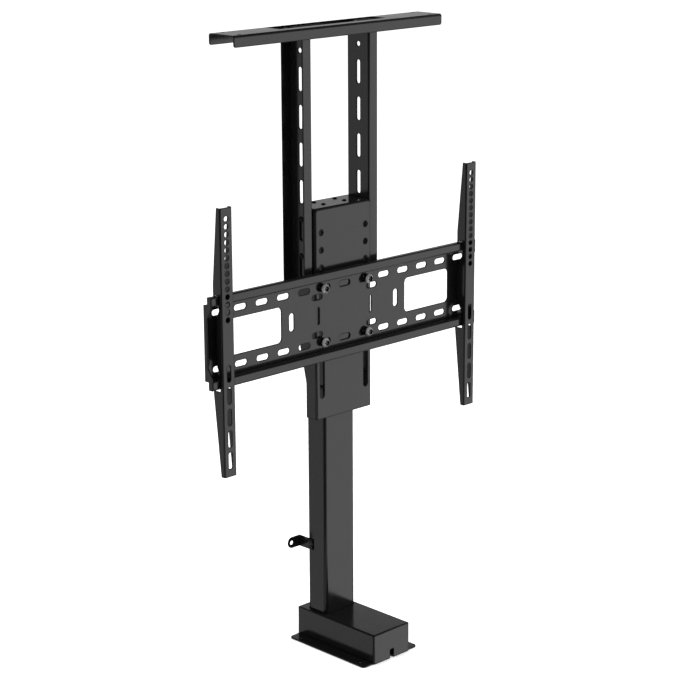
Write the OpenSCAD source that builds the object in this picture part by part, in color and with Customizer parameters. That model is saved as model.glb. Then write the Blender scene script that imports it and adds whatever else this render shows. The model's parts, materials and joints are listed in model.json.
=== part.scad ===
/* [Column] */
// Width of the outer column across the front
column_w = 72; // [68:1:84]
// Depth of the outer column, front to back
column_d = 45; // [43:1:52]
// Wall of the outer and inner columns
column_wall = 2; // [1.5:0.25:2.5]
// Outside corner radius of the outer column
column_corner_r = 6; // [4:0.5:8]
// Height of the top of the outer column above the floor
column_top_z = 470; // [455:1:474]
// Length that the inner column stays inside the outer one when raised
column_overlap = 108; // [90:1:112]
// Play between the glides and the column walls that they run on
glide_play = 0.15; // [0.1:0.05:0.4]

/* [Base] */
// Width of the base plate over its side flanges
base_plate_w = 133; // [120:1:160]
// Thickness of the base plate
base_plate_t = 3; // [2.5:0.5:5]
// Spacing of the floor screws across the base plate
floor_screw_pitch_x = 111; // [104:1:118]
// Spacing of the floor screws along the base plate
floor_screw_pitch_y = 150; // [120:1:160]
// Diameter of the floor screw holes
floor_screw_d = 7; // [5:0.5:9]
// Width of the base cover
cover_w = 88; // [86:1:100]
// Height of the base cover above the floor
cover_h = 54; // [53:1:70]
// Reach of the base cover in front of the column's axis
cover_front = 149.5; // [145:0.5:190]
// Reach of the base cover behind the column's axis
cover_back = 42; // [38:0.5:60]
// Sheet thickness of the base cover
cover_t = 2; // [1.5:0.5:2.5]
// Outside bend radius of the base cover
cover_bend_r = 3; // [2.5:0.5:3.5]
// Width of the cable notch in the front of the cover
notch_w = 9; // [6:0.5:14]
// Height of the cable notch above the floor
notch_h = 16.5; // [10:0.5:20]

/* [Drive] */
// Diameter of the leadscrew
screw_d = 14; // [12:0.5:16]
// Diameter of the leadscrew where it runs in its bearings
journal_d = 12; // [10:0.5:12]
// Teeth on the worm wheel
wheel_teeth = 24; // [20:1:26]
// Tooth module of the worm wheel
wheel_module = 1.25; // [1:0.05:1.3]
// Diameter of the motor can
motor_d = 34; // [28:1:36]
// Length of the motor can
motor_length = 78; // [60:1:85]

/* [Carriage] */
// Width of the carriage over its side flanges
carriage_w = 132; // [126:1:150]
// Height of the top of the carriage above the floor
carriage_top_z = 787.5; // [780:0.5:800]
// Height of the carriage front plate
carriage_h = 366; // [350:1:380]
// Distance from the column's axis to the front of the carriage
carriage_front = 34.5; // [34:0.5:42]
// Sheet thickness of the carriage
carriage_t = 2.5; // [2:0.5:3]
// Depth of the carriage's side flanges at the bottom
flange_low_d = 25; // [16:1:40]
// Spacing of the two columns of holes and slots in the carriage
carriage_row_pitch = 104; // [98:1:108]
// Vertical pitch of the spare bolt holes in the carriage
carriage_hole_pitch = 30; // [22:1:34]
// Width of the two long slots in the carriage
carriage_slot_w = 10.4; // [9:0.1:12]
// Height of the lower end of the long slots above the floor
carriage_slot_low_z = 458.5; // [450:0.5:500]

/* [Uprights] */
// Depth of the uprights, front to back
upright_d = 52; // [46:1:56]
// Width of the uprights' flanges
upright_flange = 20; // [14:0.5:26]
// Sheet thickness of the uprights
upright_t = 2.5; // [2:0.5:3]
// Length of an upright below its lowest slot
upright_end = 13; // [8:0.5:30]
// Pitch of the slots in the uprights
upright_slot_pitch = 62.65; // [56:0.05:66]
// Length of one slot in the uprights
upright_slot_l = 40; // [30:1:46]
// Width of one slot in the uprights
upright_slot_w = 8.4; // [7:0.1:9]

/* [Top bracket] */
// Sheet thickness of the top bracket
bracket_t = 2.5; // [2:0.5:3]
// Length of the top bracket
bracket_l = 476; // [400:1:560]
// Height of the top bracket
bracket_h = 19; // [17:0.5:26]
// Height of the top of the bracket above the floor
bracket_top_z = 1087.5; // [1060:0.5:1100]
// Length of the cut-out in the top of the bracket
bracket_cut_l = 242; // [190:1:300]
// Spacing of the lid screw holes along the bracket
lid_hole_pitch_x = 436; // [350:1:450]
// Spacing of the lid screw holes across the bracket
lid_hole_pitch_y = 40; // [30:1:46]
// Diameter of the lid screw holes
lid_hole_d = 6.5; // [4:0.5:8]

/* [Crossbar] */
// Length of the crossbar
crossbar_l = 626; // [600:1:700]
// Height of the middle of the crossbar above the floor
crossbar_mid_z = 605; // [603:0.5:606]
// Height of the crossbar over its rails
crossbar_h = 154; // [152:1:160]
// Height of the crossbar's recessed web
crossbar_web_h = 127; // [122:1:130]
// Depth of the crossbar from the back of its web to the front of its rails
crossbar_d = 18; // [16:0.5:22]
// Depth of the folded rail that the arms hang on
rail_d = 9; // [8:0.5:10]
// Sheet thickness of the crossbar
crossbar_t = 2; // [1.5:0.5:2]
// Pitch of the slots along the crossbar
bar_slot_pitch = 47.3; // [44:0.1:50]
// Length of one slot in the crossbar
bar_slot_l = 26; // [18:1:30]
// Width of one slot in the crossbar
bar_slot_w = 10; // [8:0.5:12]
// Spacing between the upper and lower rows of crossbar slots
bar_row_pitch = 94; // [90:1:98]

/* [Screen arms] */
// Height of the screen arms
arm_h = 445.5; // [420:0.5:480]
// Height of the top of the arms above the floor
arm_top_z = 825; // [815:1:835]
// Width of one arm across its front
arm_w = 26; // [22:1:34]
// Sheet thickness of the arms
arm_t = 2; // [1.5:0.5:2.5]
// Distance of the left arm's middle from the left end of the crossbar
arm_left_in = 29; // [21:1:80]
// Distance of the right arm's middle from the right end of the crossbar
arm_right_in = 22; // [21:1:80]
// Pitch of the round holes in the arms
arm_hole_pitch = 12.65; // [12:0.05:13]
// Diameter of the round holes in the arms
arm_hole_d = 8.4; // [6:0.2:9]
// Pitch of the slots in the arms
arm_slot_pitch = 36.65; // [34:0.05:38]
// Length of one slot in the arms
arm_slot_l = 28; // [20:1:30]
// Distance from the top hole to the middle of the lowest slot
arm_pattern_h = 400; // [380:1:404]

/* [Fits] */
// Gap between flat faces that slide on each other
slide_gap = 0.2; // [0.1:0.05:0.3]
// Radial clearance of a shaft that turns in a bore
run_fit = 0.05; // [0.02:0.01:0.1]
// Radial clearance of the nut on the leadscrew
nut_fit = 0.1; // [0.05:0.01:0.1]
// Free space between parts that pass each other
part_gap = 0.5; // [0.3:0.1:0.8]

/* [Hidden] */
$fn = 48;
black_steel = [0.11, 0.11, 0.115];
dark_steel = [0.16, 0.16, 0.165];
black_plastic = [0.2, 0.2, 0.21];
zinc = [0.72, 0.73, 0.74];
nylon = [0.82, 0.81, 0.77];
cast_grey = [0.58, 0.59, 0.6];
brass = [0.78, 0.62, 0.3];
green = [0.1, 0.42, 0.2];
both_ways = [-1, 1];
over = 1;

// Column, collar and travel
tube_in_w = column_w - 2 * column_wall;
tube_in_d = column_d - 2 * column_wall;
tube_in_r = column_corner_r - column_wall;
guide_wall = 3;
inner_w = tube_in_w - 2 * guide_wall;
inner_d = tube_in_d - 2 * guide_wall - 1;
inner_r = 4;
bore_w = inner_w - 2 * column_wall;
bore_d = inner_d - 2 * column_wall;
bore_r = inner_r - column_wall;
collar_lip = 2;
collar_h = 40;
inner_low_z = column_top_z - column_overlap;
cap_under_z = carriage_top_z - carriage_t;
glide_h = 30;
glide_z = inner_low_z + 1;
nut_h = 25;
nut_rim_h = 3;
nut_wall = 4;
pin_r = 2.5;
pin_l = 12;
pin_z = inner_low_z + 14;

// Base
cover_in_w = cover_w - 2 * cover_t;
plate_front = cover_front - cover_t - 0.5;
plate_back = cover_back - cover_t - 0.5;
plate_corner_r = 6;
plate_mid_y = (plate_back - plate_front) / 2;
tab_x = 25;
tab_w = 14;
tab_h = 17;
tab_screw_z = 13;
cover_screw_d = 4;
cover_lift = 0.4;
cover_in_r = 1;
cover_head_h = 2.2;
notch_x = 0.6;
notch_depth = 8.5;

// Gearbox
housing_top_z = 38;
spigot_h = 8;
wheel_z = 22;
wheel_t = 12;
bearing_t = 8;
bearing_od = 28;
chamber_r = 17.5;
wheel_pitch_r = wheel_teeth * wheel_module / 2;
wheel_tip_r = wheel_pitch_r + wheel_module;
wheel_root_r = wheel_pitch_r - 1.25 * wheel_module;
worm_core_r = 4.4;
worm_x = wheel_tip_r + worm_core_r + 0.35;
worm_shaft_r = 3;
worm_chamber_r = 8.5;
housing_left = 38;
housing_right = cover_in_w / 2 - 0.5;
housing_front = 30;
housing_back = 24;
bush_l = 6;
bush_back_y = 18;
plug_h = wheel_z - wheel_t / 2 - 1 - base_plate_t;
upper_bearing_z = wheel_z + wheel_t / 2 + 1;
column_screw_z = housing_top_z + spigot_h / 2;
column_screw_pitch = 20;
column_screw_r = 2;
column_screw_in = 6;
column_head_h = 1.6;
gearbox_screw_r = 2.5;
gearbox_screw_in = 12;
gearbox_corner_r = 3;
screw_low_z = base_plate_t + plug_h - bearing_t;
screw_high_z = inner_low_z + 43;
key_w = 4;
motor_front_y = -housing_front;
motor_back_y = motor_front_y - motor_length;
end_cap_l = 5;
motor_screw_r = 1.5;
motor_screw_x = 12.5;
motor_screw_l = 10;
motor_screw_in = 4;
motor_boss_h = 3;
motor_bore_l = 12;
terminal_x = 8;
terminal_w = 3;
terminal_l = 5;
terminal_t = 1;
cradle_w = 28;
cradle_l = 40;
cradle_h = 8;
cradle_y = motor_back_y + 15;

// Board and socket
board_t = 1.6;
board_z = base_plate_t + 6;
board_left = cover_in_w / 2 - 2;
board_w = 30;
board_front_y = -plate_front + 6;
board_l = 88;
relay_side = 15;
relay_y = [12, 32];
capacitor_r = 6;
capacitor_h = 18;
terminal_block = [20, 8, 9];
plug_block = [8, 9, 8];
post_r = 2.5;
post_inset = 4;
socket_w = 12;
socket_l = 13;
socket_h = 12;
socket_bore_r = 3.4;
socket_bore_l = 9;

// Cable bracket
lug_t = 2;
lug_h = 20;
lug_mid_z = 177;
lug_front_y = 8;
lug_back_y = 43.75;
lug_reach = 27;
lug_hole_r = 4;
lug_hole_in = 8.5;
rivet_r = 2;
rivet_head_h = 1;
rivet_y = 13;
rivet_pitch = 10;

// Carriage
flange_x = carriage_w / 2;
flange_in_x = flange_x - carriage_t;
plate_back_y = -carriage_front + carriage_t;
carriage_low_z = carriage_top_z - carriage_h;
flange_back_y = column_d / 2;
flange_straight_h = 61;
flange_slope_h = 141;
bend_r = 4;
spare_hole_z = [for (k = [0 : 2]) carriage_top_z - 41.5 - k * carriage_hole_pitch];
spare_hole_r = 5;
bolt_z = [crossbar_mid_z + bar_row_pitch / 2, crossbar_mid_z - bar_row_pitch / 2];
bar_bolt_x = carriage_row_pitch / 2;
carriage_slot_top_z = bolt_z[0] + carriage_slot_w / 2;
cap_screw_x = 24.5;
cap_screw_y = 11.5;
cap_screw_r = 2.5;
cap_screw_l = 14;
cap_head_r = 4.6;
cap_head_h = 2.2;
cap_socket = 3;
head_block_h = 25;
head_pin_z = cap_under_z - head_block_h / 2;

// Uprights
web_in_x = flange_x + slide_gap;
upright_front_y = -29.3;
upright_back_y = upright_front_y + upright_d;
upright_mid_y = upright_front_y + upright_d / 2;
slot_line_y = upright_mid_y - 0.7;
carriage_bolt_r = 4;
carriage_bolt_in = 21;
carriage_bolt_z = [for (k = [0, 1]) carriage_top_z - carriage_bolt_in - k * upright_slot_pitch];
low_slot_top_z = carriage_bolt_z[1] + upright_slot_w / 2;
upright_low_z = low_slot_top_z - upright_slot_l - upright_end;
upright_top_z = bracket_top_z - bracket_t;
upright_hole_z = bracket_top_z - 39.5;
slot_room = upright_hole_z - upright_slot_w - 6 - low_slot_top_z;
upright_slots = floor(slot_room / upright_slot_pitch) + 1;
m8_flats = 13;
m8_nut_h = 6.5;
m8_end = 1.5;
side_head_r = 5.5;
side_head_h = 3;
side_socket = 5;

// Top bracket
bracket_front_y = -35.4;
bracket_back_y = upright_back_y + bracket_t;
bracket_d = bracket_back_y - bracket_front_y;
bracket_mid_y = (bracket_front_y + bracket_back_y) / 2;
bracket_bolt_z = bracket_top_z - 7.5;
bracket_bolt_x = web_in_x + upright_flange - 6.2;
bracket_bolt_r = 3;
m6_flats = 10;
m6_nut_h = 5;
m6_head_h = 4;
m6_end = 4;
flange_corner_r = 4;
cut_front_y = bracket_front_y + 20;
cut_back_y = bracket_back_y - 4.5;

// Crossbar
bar_back_y = -carriage_front - slide_gap;
bar_web_y = bar_back_y - crossbar_t;
bar_front_y = bar_back_y - crossbar_d;
rail_back_y = bar_front_y + rail_d;
web_half = crossbar_web_h / 2;
rail_half = crossbar_h / 2;
window_w = 111;
window_h = 61;
window_mid_x = 202;
window_r = 8.5;
small_slot_x = 64.5;
small_slot_pitch = 65.5;
small_slot_l = 24;
small_slot_w = 9.5;
rib_slot_x = 123.5;
rib_slot_h = 31;
rib_slot_w = 10.5;
narrow_slot_x = 61.8;
narrow_slot_h = 30;
narrow_slot_w = 5;
bar_bolt_r = 4.8;
collar_r = 7.5;
collar_l = 6.5;
bar_head_r = 8.5;
bar_head_h = 6;
bar_socket = 9;
m10_flats = 16;
m10_nut_h = 5.5;
m10_end = 1;
bar_bend_r = 2.5;
end_waist_d = 8;

// Arms
arm_face_y = bar_front_y - 8;
arm_d = 23.6;
arm_back_y = arm_face_y + arm_d;
arm_hook_y = arm_back_y - 3.1;
arm_outer_d = 13.7;
arm_bend_r = 2.5;
arm_low_z = arm_top_z - arm_h;
arm_left_x = crossbar_l / 2 - arm_left_in;
arm_right_x = crossbar_l / 2 - arm_right_in;
arm_tip_d = 9;
arm_hole_top_z = arm_top_z - 18;
arm_holes = 14;
arm_slots = 5;
arm_slot_w = 8;
hook_gap = 0.7;
hook_drop = 8;
hook_rise = 18;
wing_slope = 24;
wing_half = web_half - 11;
foot_h = 5;
foot_gap = 4;

// Height of the top end of upright slot number k, counted from below
function slot_top_z(k) = low_slot_top_z + k * upright_slot_pitch;

// Corner radius of a regular hexagon by its width across flats
function hex_r(flats) = flats / sqrt(3);

// Rectangle with true round corners, centred
module round_rect(w, d, r) {
    square([w - 2 * r, d], center = true);
    square([w, d - 2 * r], center = true);
    for (x = both_ways, y = both_ways) translate([x * (w / 2 - r), y * (d / 2 - r)]) circle(r);
}

// Slot outline with round ends along X, centred
module slot_2d(length, width) {
    square([length - width, width], center = true);
    for (x = both_ways) translate([x * (length - width) / 2, 0]) circle(width / 2);
}

// Slot cutter along X that passes through a sheet facing Y
module slot_x(length, width, depth) {
    rotate([90, 0, 0]) linear_extrude(depth, center = true) slot_2d(length, width);
}

// Slot cutter along Z that passes through a sheet facing Y
module slot_z(length, width, depth) {
    rotate([90, 0, 0]) linear_extrude(depth, center = true) rotate(90) slot_2d(length, width);
}

// Slot cutter along Z that passes through a sheet facing X
module side_slot(length, width, depth) {
    rotate([90, 0, 90]) linear_extrude(depth, center = true) rotate(90) slot_2d(length, width);
}

// Rectangular tube standing on the floor plane
module tube(w, d, r, wall, h) {
    difference() {
        linear_extrude(h) round_rect(w, d, r);
        translate([0, 0, -over]) linear_extrude(h + 2 * over)
            round_rect(w - 2 * wall, d - 2 * wall, r - wall);
    }
}

// Rod along +Y from the origin
module rod_y(r, l) {
    rotate([-90, 0, 0]) cylinder(h = l, r = r);
}

// Rod along +X from the origin
module rod_x(r, l) {
    rotate([0, 90, 0]) cylinder(h = l, r = r);
}

// Hexagonal prism standing on the floor plane
module hex_prism(flats, h) {
    cylinder(h = h, r = hex_r(flats), $fn = 6);
}

// Hexagonal nut standing on the floor plane
module hex_nut(flats, h, bore_r) {
    difference() {
        hex_prism(flats, h);
        translate([0, 0, -over]) cylinder(h = h + 2 * over, r = bore_r);
    }
}

// Domed screw head standing on the floor plane, with a hexagonal socket
module dome_head(r, h, socket_flats) {
    ball_r = (r * r + h * h) / (2 * h);
    difference() {
        intersection() {
            cylinder(h = h, r = r);
            translate([0, 0, h - ball_r]) sphere(ball_r);
        }
        translate([0, 0, h * 0.4]) hex_prism(socket_flats, h);
    }
}

// Half of a rounded tube outline: a channel that opens towards +X
module channel_2d(reach, d, r, t) {
    intersection() {
        translate([reach, 0]) difference() {
            round_rect(2 * reach, d, r);
            round_rect(2 * (reach - t), d - 2 * t, r - t);
        }
        translate([0, -d]) square([reach, 2 * d]);
    }
}

module base_plate() color(black_steel) {
    difference() {
        union() {
            translate([0, plate_mid_y, 0]) linear_extrude(base_plate_t)
                round_rect(base_plate_w, plate_front + plate_back, plate_corner_r);
            for (x = both_ways) translate([x * tab_x - tab_w / 2, plate_back - cover_t, 0])
                cube([tab_w, cover_t, tab_h]);
        }
        for (x = both_ways, y = both_ways)
            translate([x * floor_screw_pitch_x / 2, plate_mid_y + y * floor_screw_pitch_y / 2, -over])
                cylinder(h = base_plate_t + 2 * over, d = floor_screw_d);
        for (p = gearbox_screw_spots()) translate([p[0], p[1], -over]) {
            cylinder(h = base_plate_t + 2 * over, r = gearbox_screw_r);
            cylinder(h = over + 1.5, r = 2 * gearbox_screw_r);
        }
        for (x = both_ways) translate([x * tab_x, plate_back - cover_t - over, tab_screw_z])
            rod_y(cover_screw_d / 2, cover_t + 2 * over);
        translate([notch_x - notch_w / 2, -plate_front - over, -over])
            cube([notch_w, notch_depth + over, base_plate_t + 2 * over]);
    }
}

// Block with rounded upright edges and rounded top edges, with its lower face on the floor plane
module folded_block(w, d, h, r) {
    intersection() {
        linear_extrude(h) round_rect(w, d, r);
        rotate([90, 0, 0]) linear_extrude(d, center = true) round_rect(w, 2 * h, r);
        rotate([90, 0, 90]) linear_extrude(w, center = true) round_rect(d, 2 * h, r);
    }
}

module base_cover() color(black_steel) {
    mid_y = (cover_back - cover_front) / 2;
    length = cover_front + cover_back;
    difference() {
        translate([0, mid_y, cover_lift]) folded_block(cover_w, length, cover_h - cover_lift, cover_bend_r);
        translate([0, mid_y, -over]) linear_extrude(cover_h - cover_t + over)
            round_rect(cover_in_w, length - 2 * cover_t, cover_in_r);
        translate([-cover_w, -plate_front - 0.5, -over])
            cube([2 * cover_w, plate_front + plate_back + 1, over + base_plate_t]);
        linear_extrude(cover_h + over)
            round_rect(column_w + 2 * part_gap, column_d + 2 * part_gap, column_corner_r + part_gap);
        translate([notch_x - notch_w / 2, -cover_front - over, -over])
            cube([notch_w, cover_t + 2 * over, notch_h + over]);
        for (x = both_ways) translate([x * tab_x, cover_back - cover_t - over, tab_screw_z])
            rod_y(cover_screw_d / 2, cover_t + 2 * over);
    }
}

module cover_screws() color(zinc) {
    shank_l = cover_back - plate_back + cover_t;
    for (x = both_ways) translate([x * tab_x, plate_back - cover_t, tab_screw_z]) {
        rod_y(cover_screw_d / 2, shank_l);
        translate([0, shank_l, 0]) rod_y(cover_screw_d, cover_head_h);
    }
}

module outer_column() color(black_steel) {
    height = column_top_z - collar_lip - housing_top_z;
    difference() {
        translate([0, 0, housing_top_z])
            tube(column_w, column_d, column_corner_r, column_wall, height);
        for (x = both_ways, y = both_ways)
            translate([x * (column_w - column_wall) / 2, y * column_screw_pitch / 2, column_screw_z])
                translate([-column_wall, 0, 0]) rod_x(column_screw_r, 2 * column_wall);
        for (z = both_ways)
            translate([-column_w / 2 - over, rivet_y, lug_mid_z + z * rivet_pitch / 2])
                rod_x(rivet_r, column_wall + 2 * over);
    }
}

module column_collar() color(black_plastic) {
    difference() {
        union() {
            translate([0, 0, column_top_z - collar_h]) linear_extrude(collar_h - collar_lip / 2)
                round_rect(tube_in_w, tube_in_d, tube_in_r);
            translate([0, 0, column_top_z - collar_lip]) linear_extrude(collar_lip)
                round_rect(column_w, column_d, column_corner_r);
        }
        translate([0, 0, column_top_z - collar_h - over]) linear_extrude(collar_h + 2 * over)
            round_rect(inner_w + 2 * glide_play, inner_d + 2 * glide_play, inner_r + glide_play);
    }
}

module column_screws() color(zinc) {
    reach = column_wall + column_screw_in;
    for (x = both_ways, y = both_ways)
        translate([x * column_w / 2, y * column_screw_pitch / 2, column_screw_z])
            rotate([0, 0, 90 - 90 * x]) {
                translate([-reach, 0, 0]) rod_x(column_screw_r, reach);
                rod_x(2 * column_screw_r, column_head_h);
            }
}

// Places of the four screws that hold the gearbox down
function gearbox_screw_spots() = [
    for (x = [6 - housing_left, housing_right - 6], y = [6 - housing_front, housing_back - 5]) [x, y]
];

module gearbox_housing() color(cast_grey) {
    h = housing_top_z - base_plate_t;
    w = housing_left + housing_right;
    d = housing_front + housing_back;
    difference() {
        union() {
            translate([w / 2 - housing_left, d / 2 - housing_front, base_plate_t])
                linear_extrude(h) round_rect(w, d, gearbox_corner_r);
            translate([0, 0, housing_top_z - over]) linear_extrude(spigot_h + over)
                round_rect(tube_in_w, tube_in_d, tube_in_r);
        }
        translate([0, 0, base_plate_t - over])
            cylinder(h = upper_bearing_z - base_plate_t + over, r = chamber_r);
        translate([0, 0, upper_bearing_z - over]) cylinder(h = bearing_t + over, r = bearing_od / 2);
        translate([0, 0, upper_bearing_z])
            cylinder(h = housing_top_z + spigot_h, r = screw_d / 2 + 1);
        translate([worm_x, motor_front_y - over, wheel_z])
            rod_y(worm_chamber_r, bush_back_y - motor_front_y + over);
        for (p = gearbox_screw_spots()) translate([p[0], p[1], base_plate_t - over])
            cylinder(h = over + gearbox_screw_in + 2, r = gearbox_screw_r);
        for (x = both_ways, y = both_ways)
            translate([x * tube_in_w / 2, y * column_screw_pitch / 2, column_screw_z])
                translate([-column_screw_in, 0, 0]) rod_x(column_screw_r, 2 * column_screw_in);
        for (s = both_ways) translate([worm_x + s * motor_screw_x, motor_front_y - over, wheel_z])
            rod_y(motor_screw_r, motor_screw_l - motor_screw_in + 2 + over);
    }
}

module gearbox_screws() color(zinc) {
    for (p = gearbox_screw_spots()) translate([p[0], p[1], 0.3]) {
        cylinder(h = base_plate_t + gearbox_screw_in, r = gearbox_screw_r);
        cylinder(h = 1.2, r = 2 * gearbox_screw_r - 0.2);
    }
}

module bearing_plug() color(cast_grey) {
    translate([0, 0, base_plate_t]) difference() {
        cylinder(h = plug_h, r = chamber_r);
        translate([0, 0, plug_h - bearing_t]) cylinder(h = bearing_t + over, r = bearing_od / 2);
    }
}

// Ball bearing as its outer and inner rings with a shield between
module bearing(z) {
    translate([0, 0, z]) difference() {
        cylinder(h = bearing_t, r = bearing_od / 2);
        translate([0, 0, -over]) cylinder(h = bearing_t + 2 * over, r = journal_d / 2 + run_fit);
        for (s = [0, bearing_t - 0.6]) translate([0, 0, s]) difference() {
            cylinder(h = 0.6, r = bearing_od / 2 - 2.5);
            cylinder(h = 0.6, r = journal_d / 2 + 2.5);
        }
    }
}

module lower_bearing() color(zinc) {
    bearing(base_plate_t + plug_h - bearing_t);
}

module upper_bearing() color(zinc) {
    bearing(upper_bearing_z);
}

module worm_bushes() color(brass) {
    for (y = [motor_front_y + motor_boss_h, bush_back_y - bush_l])
        translate([worm_x, y, wheel_z]) difference() {
            rod_y(worm_chamber_r, bush_l);
            translate([0, -over, 0]) rod_y(worm_shaft_r + run_fit, bush_l + 2 * over);
        }
}

module drive_motor() color(dark_steel) {
    translate([worm_x, 0, wheel_z]) difference() {
        union() {
            translate([0, motor_back_y, 0]) rod_y(motor_d / 2, motor_length);
            translate([0, motor_front_y, 0]) rod_y(worm_chamber_r, motor_boss_h);
        }
        translate([0, motor_front_y - motor_bore_l, 0])
            rod_y(worm_shaft_r + part_gap, motor_bore_l + motor_boss_h + over);
        for (s = both_ways) translate([s * motor_screw_x, motor_front_y - motor_screw_in, 0])
            rod_y(motor_screw_r, motor_screw_in + over);
    }
}

module motor_end_cap() color(black_plastic) {
    translate([worm_x, motor_back_y - end_cap_l, wheel_z]) {
        rod_y(motor_d / 2 - 1, end_cap_l);
        for (x = both_ways) translate([x * terminal_x - terminal_w / 2, -terminal_l, motor_d / 6])
            cube([terminal_w, terminal_l + over, terminal_t]);
    }
}

module motor_screws() color(zinc) {
    for (s = both_ways)
        translate([worm_x + s * motor_screw_x, motor_front_y - motor_screw_in, wheel_z])
            rod_y(motor_screw_r, motor_screw_l);
}

module motor_cradle() color(nylon) {
    difference() {
        translate([worm_x - cradle_w / 2, cradle_y, base_plate_t]) cube([cradle_w, cradle_l, cradle_h]);
        translate([worm_x, cradle_y - over, wheel_z]) rod_y(motor_d / 2, cradle_l + 2 * over);
    }
}

module control_board() color(green) {
    translate([-board_left, board_front_y, board_z]) {
        cube([board_w, board_l, board_t]);
        translate([0, 0, board_t]) {
            for (y = relay_y) translate([board_w * 0.2, y, 0]) cube(relay_side);
            translate([board_w / 2, board_l * 0.7, 0]) cylinder(h = capacitor_h, r = capacitor_r);
            translate([board_w * 0.13, board_l * 0.84, 0]) cube(terminal_block);
            translate([board_w * 0.67, 2, 0]) cube(plug_block);
        }
    }
}

module board_posts() color(nylon) {
    for (x = [post_inset, board_w - post_inset], y = [post_inset, board_l - post_inset])
        translate([x - board_left, y + board_front_y, base_plate_t])
            cylinder(h = board_z - base_plate_t, r = post_r);
}

module power_socket() color(black_plastic) {
    translate([notch_x - socket_w / 2, -plate_front + notch_depth, base_plate_t]) difference() {
        cube([socket_w, socket_l, socket_h]);
        translate([socket_w / 2, -over, socket_h / 2]) rod_y(socket_bore_r, socket_bore_l + over);
    }
}

module cable_bracket() color(black_steel) {
    x = -column_w / 2 - lug_t;
    end_x = x - lug_reach + lug_h / 2;
    difference() {
        union() {
            translate([x, lug_front_y, lug_mid_z - lug_h / 2])
                cube([lug_t, lug_back_y - lug_front_y, lug_h]);
            translate([end_x, lug_back_y - lug_t, lug_mid_z - lug_h / 2])
                cube([x + lug_t - end_x, lug_t, lug_h]);
            translate([end_x, lug_back_y - lug_t, lug_mid_z]) rod_y(lug_h / 2, lug_t);
        }
        translate([x - lug_reach + lug_hole_in, lug_back_y - lug_t - over, lug_mid_z])
            rod_y(lug_hole_r, lug_t + 2 * over);
        for (z = both_ways) translate([x - over, rivet_y, lug_mid_z + z * rivet_pitch / 2])
            rod_x(rivet_r, lug_t + 2 * over);
    }
}

module cable_bracket_rivets() color(dark_steel) {
    for (z = both_ways)
        translate([-column_w / 2 - lug_t, rivet_y, lug_mid_z + z * rivet_pitch / 2]) {
            translate([-rivet_head_h, 0, 0]) rod_x(2 * rivet_r, rivet_head_h);
            rod_x(rivet_r, lug_t + column_wall);
        }
}

module leadscrew() color(zinc) {
    translate([0, 0, screw_low_z]) difference() {
        cylinder(h = housing_top_z - screw_low_z, r = journal_d / 2);
        translate([journal_d / 2 - key_w / 2, -key_w / 2, wheel_z - wheel_t / 2 - screw_low_z])
            cube([key_w, key_w, wheel_t]);
    }
    translate([0, 0, housing_top_z]) difference() {
        cylinder(h = screw_high_z - housing_top_z, r = screw_d / 2);
        translate([0, 0, screw_high_z - housing_top_z - 2]) rotate_extrude()
            translate([screw_d / 2 - 2, 2 + 0.01]) polygon([[0, 0], [2.5, 0], [2.5, -2.5]]);
    }
}

module worm_wheel() color(brass) {
    tooth_root_w = 2 * wheel_root_r * sin(180 / wheel_teeth) * 0.62;
    tooth_tip_w = tooth_root_w * 0.42;
    translate([0, 0, wheel_z - wheel_t / 2]) difference() {
        linear_extrude(wheel_t) {
            circle(wheel_root_r);
            for (k = [0 : wheel_teeth - 1]) rotate(k * 360 / wheel_teeth) polygon([
                [wheel_root_r - 1, -tooth_root_w / 2], [wheel_tip_r - 0.1, -tooth_tip_w / 2],
                [wheel_tip_r - 0.1, tooth_tip_w / 2], [wheel_root_r - 1, tooth_root_w / 2]
            ]);
        }
        translate([0, 0, -over]) cylinder(h = wheel_t + 2 * over, r = journal_d / 2);
        translate([0, -key_w / 2, -over]) cube([journal_d / 2 + key_w / 2, key_w, wheel_t + 2 * over]);
    }
}

module wheel_key() color(dark_steel) {
    translate([journal_d / 2 - key_w / 2, -key_w / 2, wheel_z - wheel_t / 2]) cube([key_w, key_w, wheel_t]);
}

module worm() color(dark_steel) {
    core_l = 24;
    groove = 0.5;
    pitch = PI * wheel_module;
    front = motor_front_y - 10;
    translate([worm_x, 0, wheel_z]) difference() {
        union() {
            translate([0, front, 0]) rod_y(worm_shaft_r, bush_back_y - front - 1);
            translate([0, -core_l / 2, 0]) rod_y(worm_core_r, core_l);
        }
        for (y = [-core_l / 2 + pitch / 2 : pitch : core_l / 2]) translate([0, y - pitch / 4, 0])
            difference() {
                rod_y(worm_core_r + over, pitch / 2);
                rod_y(worm_core_r - groove, pitch / 2);
            }
    }
}

module inner_column() color(dark_steel) {
    difference() {
        translate([0, 0, inner_low_z])
            tube(inner_w, inner_d, inner_r, column_wall, cap_under_z - inner_low_z);
        for (x = both_ways, z = [pin_z, head_pin_z])
            translate([x * (inner_w - column_wall) / 2 - column_wall, 0, z])
                rod_x(pin_r, 2 * column_wall);
    }
}

module inner_glide() color(nylon) {
    difference() {
        translate([0, 0, glide_z]) linear_extrude(glide_h)
            round_rect(tube_in_w - 2 * glide_play, tube_in_d - 2 * glide_play, tube_in_r);
        translate([0, 0, glide_z - over]) linear_extrude(glide_h + 2 * over)
            round_rect(inner_w, inner_d, inner_r);
        for (x = both_ways) translate([x * (inner_w + guide_wall) / 2 - guide_wall, 0, pin_z])
            rod_x(pin_r, 2 * guide_wall);
    }
}

module drive_nut() color(brass) {
    translate([0, 0, inner_low_z]) difference() {
        union() {
            cylinder(h = nut_h, r = screw_d / 2 + nut_wall);
            translate([0, 0, -nut_rim_h]) cylinder(h = nut_rim_h, r = bore_d / 2 - 0.5);
        }
        translate([0, 0, -nut_rim_h - over])
            cylinder(h = nut_rim_h + nut_h + 2 * over, r = screw_d / 2 + nut_fit);
    }
}

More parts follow.
